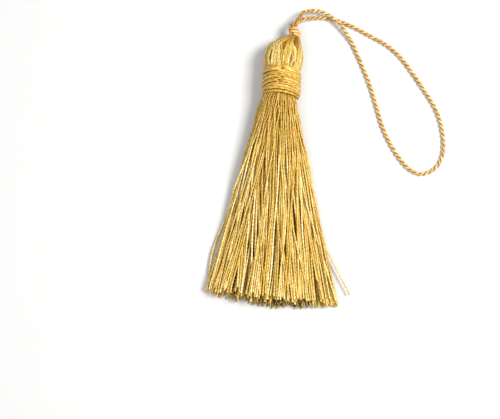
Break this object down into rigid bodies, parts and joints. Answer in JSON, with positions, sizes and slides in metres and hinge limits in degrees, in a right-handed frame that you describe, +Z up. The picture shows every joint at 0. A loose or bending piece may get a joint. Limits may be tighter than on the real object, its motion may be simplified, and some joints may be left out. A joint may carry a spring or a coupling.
{
  "type": "silk tassel",
  "caption": "Gold silk tassel lying flat: a fanned skirt of cut yarn, a wound neck binding, a folded-yarn head, and a twisted cord loop knotted above the head.",
  "frame": {"origin": "middle of the flat spot under the neck binding, on the surface that the tassel lies on", "axes": "+Z up from the surface; +Y along the tassel from the skirt to the head; +X to the side on which the loop lies"},
  "size_m": [0.083, 0.1091, 0.0141],
  "materials": {
    "silk_yarn": "satin",
    "binding_yarn": "satin",
    "knot_silk": "satin",
    "loop_silk": "satin"
  },
  "bodies": {
    "root": {"yarn_bundle": "silk_yarn", "neck_binding": "binding_yarn", "cord_knot": "knot_silk", "hanging_loop": "loop_silk"}
  },
  "joints": []
}
